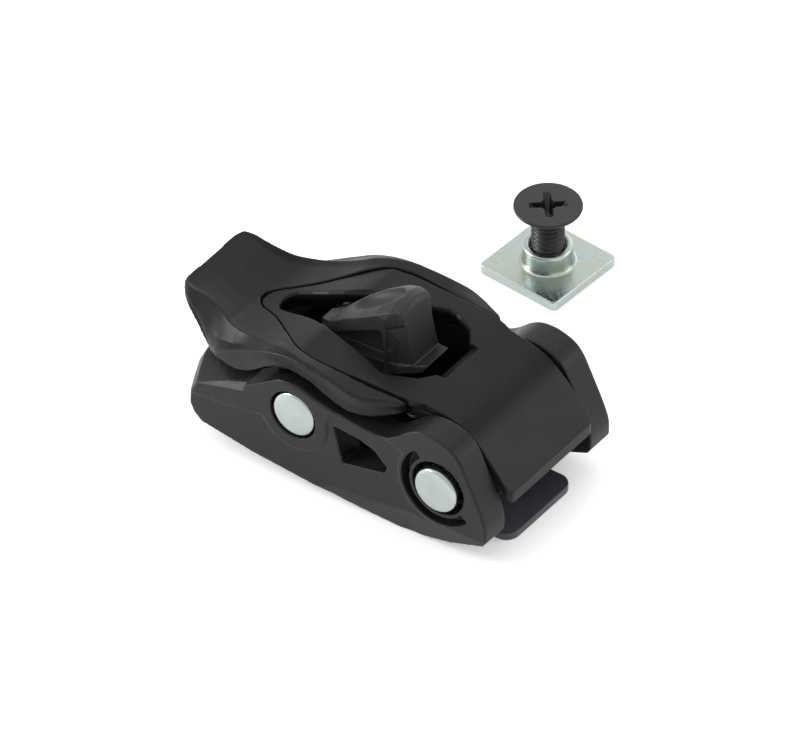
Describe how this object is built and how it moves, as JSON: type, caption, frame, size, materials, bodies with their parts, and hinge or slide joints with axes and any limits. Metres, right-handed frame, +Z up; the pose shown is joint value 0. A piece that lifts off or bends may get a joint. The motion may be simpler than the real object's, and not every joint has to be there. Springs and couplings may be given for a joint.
{
  "type": "cam-lever strap buckle",
  "caption": "Moulded cam-lever strap buckle with a sprung release pawl, strap tongue, riveted pins and a countersunk screw standing in its square nut.",
  "frame": {"origin": "on the seat plane under the buckle, straight below the rear pin's axis, midway between the side walls", "axes": "+X towards the strap inlet, +Y across towards the fixing kit, +Z up from the seat"},
  "size_m": [0.0593, 0.0679, 0.0287],
  "materials": {
    "moulded_black": "satin moulded",
    "lever_black": "satin moulded",
    "cover_black": "smooth satin",
    "plate_black": "black coated",
    "pawl_grey": "matt moulded",
    "pin_nickel": "bright nickel plate",
    "insert_steel": "plain steel",
    "nut_zinc": "clear zinc plate",
    "screw_oxide": "black oxide",
    "bush_bronze": "sintered bronze"
  },
  "bodies": {
    "base": {"base_frame": "moulded_black", "strap_guide_plate": "plate_black", "rear_pin": "pin_nickel", "rear_pin_cap": "pin_nickel", "front_pin": "pin_nickel", "front_pin_cap": "pin_nickel", "pawl_spacer_near": "insert_steel", "pawl_spacer_far": "insert_steel", "floor_screw_cup": "insert_steel"},
    "lever": {"lever_shell": "lever_black", "cover_plate": "cover_black", "cover_rivet_1": "insert_steel", "cover_rivet_2": "insert_steel", "cover_rivet_3": "insert_steel", "cover_rivet_4": "insert_steel", "lever_bush_near": "bush_bronze", "lever_bush_far": "bush_bronze", "drive_cam": "insert_steel", "drive_cam_dowel": "insert_steel", "lever_spring": "insert_steel"},
    "pawl": {"release_pawl": "pawl_grey", "pawl_tooth": "insert_steel", "pawl_tooth_rivet": "insert_steel", "pawl_bush": "bush_bronze", "pawl_spring": "insert_steel"},
    "nut": {"square_nut": "nut_zinc"},
    "screw": {"fixing_screw": "screw_oxide"}
  },
  "joints": [
    {"name": "lever_hinge", "type": "hinge", "parent": "base", "child": "lever", "pos_m": [0.0252, 0, 0.0116], "axis": [0, 1, 0], "range_deg": [0, 95], "stiffness_Nm_per_rad": 0.003, "springref_deg": -34.38},
    {"name": "pawl_hinge", "type": "hinge", "parent": "base", "child": "pawl", "pos_m": [0, 0, 0.0125], "axis": [0, 1, 0], "range_deg": [0, 12], "stiffness_Nm_per_rad": 0.01, "springref_deg": -22.92},
    {"name": "nut_lift", "type": "slide", "parent": "base", "child": "nut", "axis": [0, 0, 1], "range_m": [0, 0.03]},
    {"name": "screw_travel", "type": "slide", "parent": "nut", "child": "screw", "axis": [0, 0, 1], "range_m": [-0.0018, 0.0028]}
  ]
}
